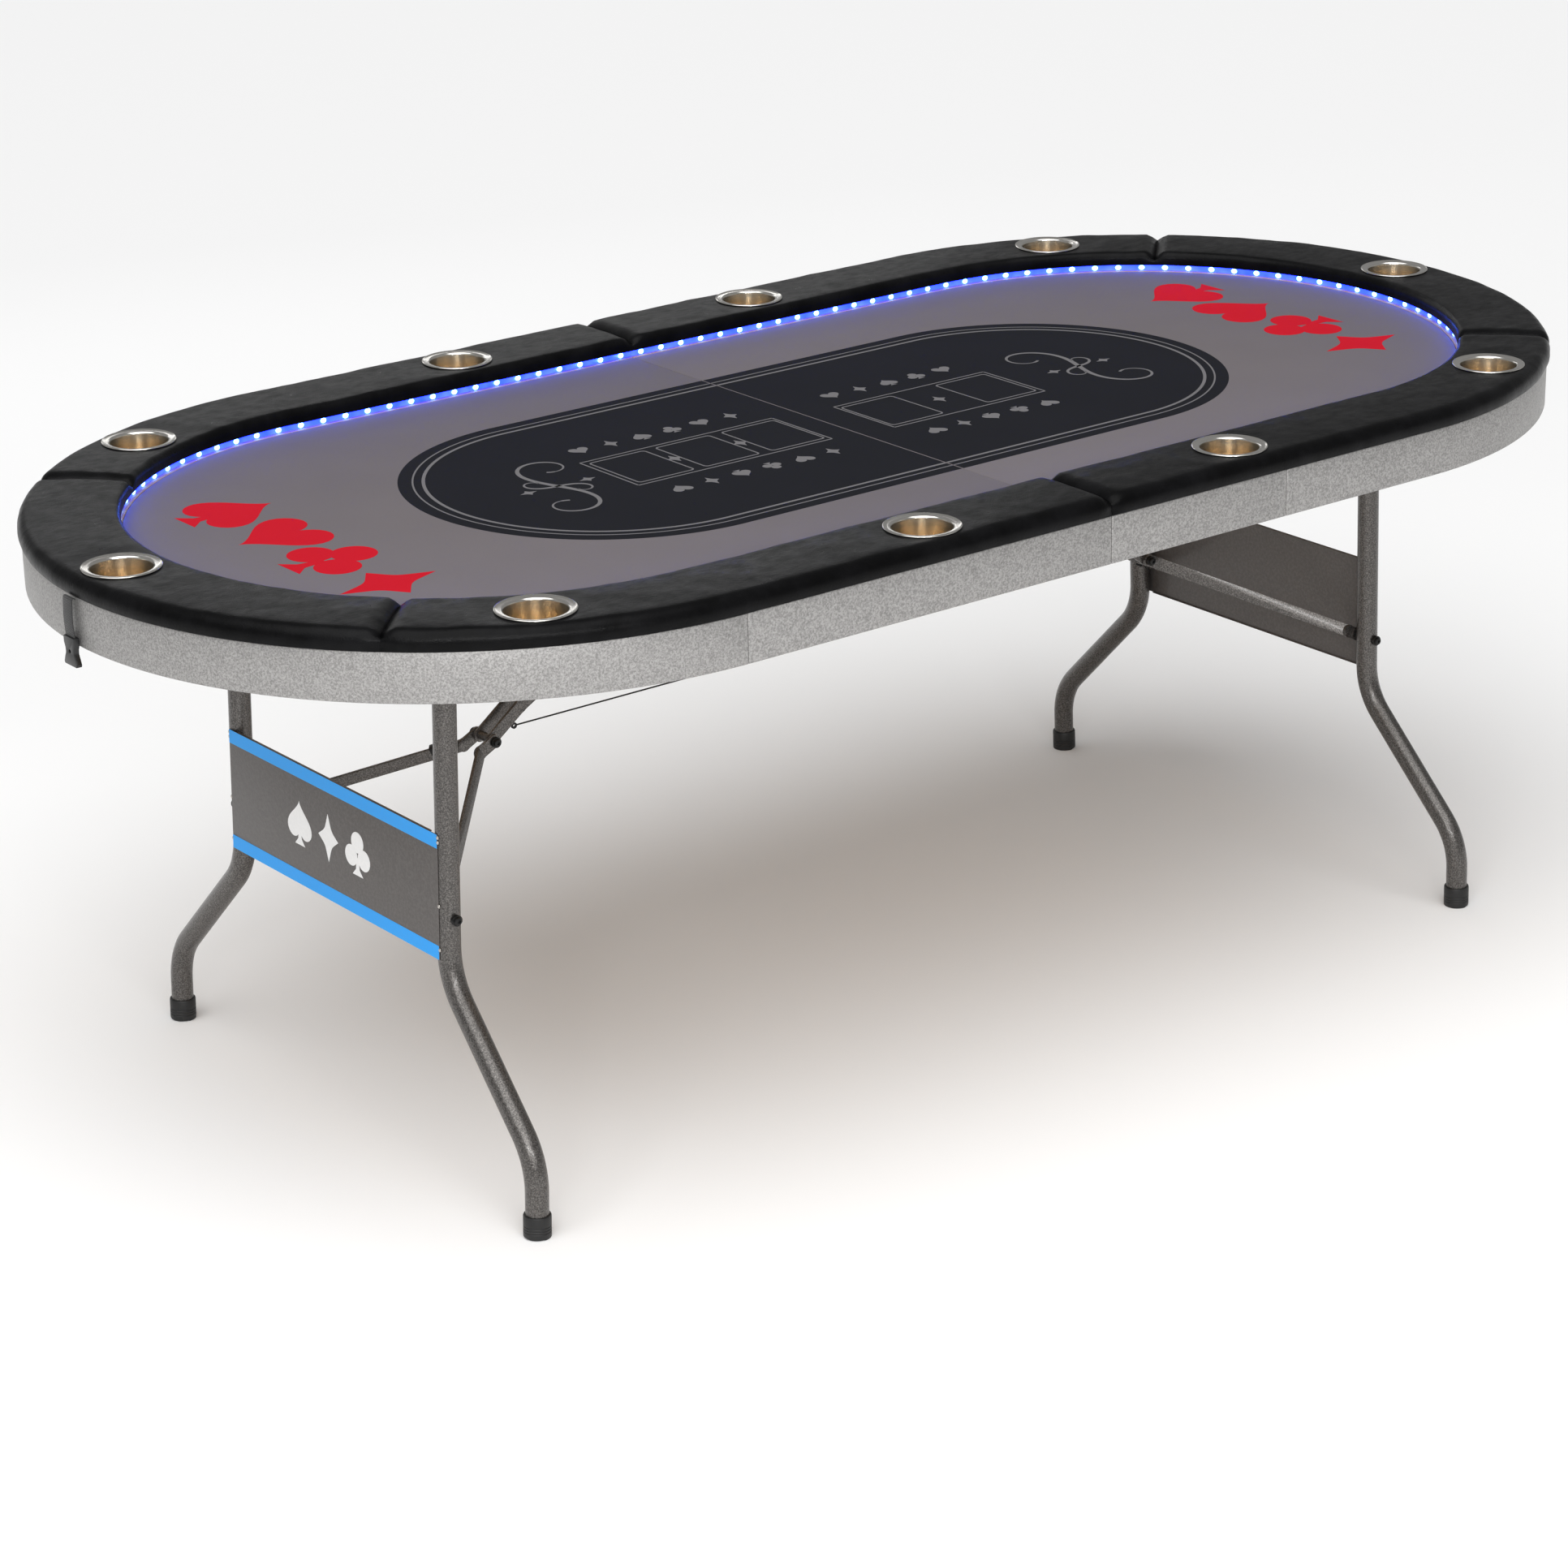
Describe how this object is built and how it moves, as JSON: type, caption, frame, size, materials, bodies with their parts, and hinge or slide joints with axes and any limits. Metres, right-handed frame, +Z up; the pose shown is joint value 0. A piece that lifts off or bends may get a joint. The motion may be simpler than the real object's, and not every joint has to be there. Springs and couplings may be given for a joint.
{
  "type": "folding poker table",
  "caption": "Oval poker table that folds in half, with padded rail, steel cup holders, lit playing surface and folding leg frames.",
  "frame": {"origin": "on the floor under the centre of the playing surface", "axes": "+X along the table's length towards half B, +Y across its width, +Z up"},
  "size_m": [2.145, 1.067, 0.762],
  "materials": {
    "vinyl": "soft black vinyl with light wrinkles",
    "laminate": "silver metallic speckle",
    "felt": "short felt",
    "plywood": "plain",
    "cup_steel": "brushed",
    "frame_paint": "hammertone",
    "panel_paint": "textured powder coat with blue stripes",
    "rubber": "moulded",
    "black_metal": "satin black",
    "hinge_steel": "zinc plated",
    "led_tape": "white tape",
    "led_lens": "lit lens",
    "webbing": "ribbed webbing",
    "buckle_plastic": "moulded",
    "box_plastic": "moulded",
    "button_plastic": "moulded"
  },
  "bodies": {
    "half_a": {"deck_a": "plywood", "felt_a": "felt", "rail_base_a": "plywood", "apron_near_a": "laminate", "apron_end_a": "laminate", "apron_far_a": "laminate", "rail_pad_near_a": "vinyl", "rail_pad_end_a": "vinyl", "rail_pad_far_a": "vinyl", "cup_holders_a": "cup_steel", "led_strip_a": "led_tape", "leds_a": "led_lens", "cross_beam_a": "plywood", "hinge_leaves_a": "hinge_steel", "leg_brackets_a": "frame_paint", "hinge_pins": "hinge_steel", "control_box": "box_plastic"},
    "half_b": {"deck_b": "plywood", "felt_b": "felt", "rail_base_b": "plywood", "apron_near_b": "laminate", "apron_end_b": "laminate", "apron_far_b": "laminate", "rail_pad_near_b": "vinyl", "rail_pad_end_b": "vinyl", "rail_pad_far_b": "vinyl", "cup_holders_b": "cup_steel", "led_strip_b": "led_tape", "leds_b": "led_lens", "cross_beam_b": "plywood", "hinge_leaves_b": "hinge_steel", "leg_brackets_b": "frame_paint"},
    "leg_a": {"crossbar_a": "frame_paint", "leg_tubes_a": "frame_paint", "leg_panel_a": "panel_paint", "foot_caps_a": "rubber", "leg_bolts_a": "black_metal"},
    "lower_fork_a": {"lower_fork_a": "frame_paint", "knee_bolts_a": "black_metal"},
    "lock_clip_a": {"lock_clip_a": "black_metal"},
    "upper_fork_a": {"upper_fork_a": "frame_paint"},
    "tie_wire_a": {"tie_wire_a": "black_metal"},
    "strap_a": {"strap_webbing_a": "webbing", "strap_buckle_a": "buckle_plastic"},
    "leg_b": {"crossbar_b": "frame_paint", "leg_tubes_b": "frame_paint", "leg_panel_b": "panel_paint", "foot_caps_b": "rubber", "leg_bolts_b": "black_metal"},
    "lower_fork_b": {"lower_fork_b": "frame_paint", "knee_bolts_b": "black_metal"},
    "lock_clip_b": {"lock_clip_b": "black_metal"},
    "upper_fork_b": {"upper_fork_b": "frame_paint"},
    "tie_wire_b": {"tie_wire_b": "black_metal"},
    "strap_b": {"strap_webbing_b": "webbing", "strap_buckle_b": "buckle_plastic"},
    "switch_button": {"switch_button": "button_plastic"}
  },
  "joints": [
    {"name": "table_fold", "type": "hinge", "parent": "half_a", "child": "half_b", "pos_m": [0, 0, 0.677], "axis": [0, 1, 0], "range_deg": [0, 80]},
    {"name": "leg_a_fold", "type": "hinge", "parent": "half_a", "child": "leg_a", "pos_m": [-0.732, 0, 0.7], "axis": [0, -1, 0], "range_deg": [0, 91.9]},
    {"name": "lower_fork_a_hinge", "type": "hinge", "parent": "leg_a", "child": "lower_fork_a", "pos_m": [-0.744, 0, 0.3382], "axis": [0, -1, 0], "range_deg": [0, 61.85]},
    {"name": "upper_fork_a_hinge", "type": "hinge", "parent": "half_a", "child": "upper_fork_a", "pos_m": [-0.0954, 0, 0.7], "axis": [0, -1, 0], "range_deg": [-30.52, 0]},
    {"name": "tie_wire_a_hinge", "type": "hinge", "parent": "upper_fork_a", "child": "tie_wire_a", "pos_m": [-0.5, 0, 0.4525], "axis": [0, -1, 0], "range_deg": [0, 30.52]},
    {"name": "lock_clip_a_slide", "type": "slide", "parent": "lower_fork_a", "child": "lock_clip_a", "axis": [-0.6554, 0.6822, -0.324], "range_m": [0, 0.03]},
    {"name": "strap_a_swing", "type": "hinge", "parent": "half_a", "child": "strap_a", "pos_m": [-1.0675, 0.014, 0.735], "axis": [0, 1, 0], "range_deg": [0, 60]},
    {"name": "leg_b_fold", "type": "hinge", "parent": "half_b", "child": "leg_b", "pos_m": [0.732, 0, 0.7], "axis": [0, 1, 0], "range_deg": [0, 91.9]},
    {"name": "lower_fork_b_hinge", "type": "hinge", "parent": "leg_b", "child": "lower_fork_b", "pos_m": [0.744, 0, 0.3382], "axis": [0, 1, 0], "range_deg": [0, 61.85]},
    {"name": "upper_fork_b_hinge", "type": "hinge", "parent": "half_b", "child": "upper_fork_b", "pos_m": [0.0954, 0, 0.7], "axis": [0, 1, 0], "range_deg": [-30.52, 0]},
    {"name": "tie_wire_b_hinge", "type": "hinge", "parent": "upper_fork_b", "child": "tie_wire_b", "pos_m": [0.5, 0, 0.4525], "axis": [0, 1, 0], "range_deg": [0, 30.52]},
    {"name": "lock_clip_b_slide", "type": "slide", "parent": "lower_fork_b", "child": "lock_clip_b", "axis": [0.6554, 0.6822, -0.324], "range_m": [0, 0.03]},
    {"name": "strap_b_swing", "type": "hinge", "parent": "half_b", "child": "strap_b", "pos_m": [1.0675, 0.014, 0.735], "axis": [0, -1, 0], "range_deg": [0, 60]},
    {"name": "switch_press", "type": "slide", "parent": "half_a", "child": "switch_button", "axis": [0, 0, 1], "range_m": [0, 0.002], "stiffness_N_per_m": 300}
  ],
  "couplings": [
    {"joint": "lower_fork_a_hinge", "follows": "leg_a_fold", "ratio": 0.67244},
    {"joint": "upper_fork_a_hinge", "follows": "leg_a_fold", "ratio": -0.33151},
    {"joint": "tie_wire_a_hinge", "follows": "leg_a_fold", "ratio": 0.33151},
    {"joint": "lower_fork_b_hinge", "follows": "leg_b_fold", "ratio": 0.67244},
    {"joint": "upper_fork_b_hinge", "follows": "leg_b_fold", "ratio": -0.33151},
    {"joint": "tie_wire_b_hinge", "follows": "leg_b_fold", "ratio": 0.33151}
  ]
}
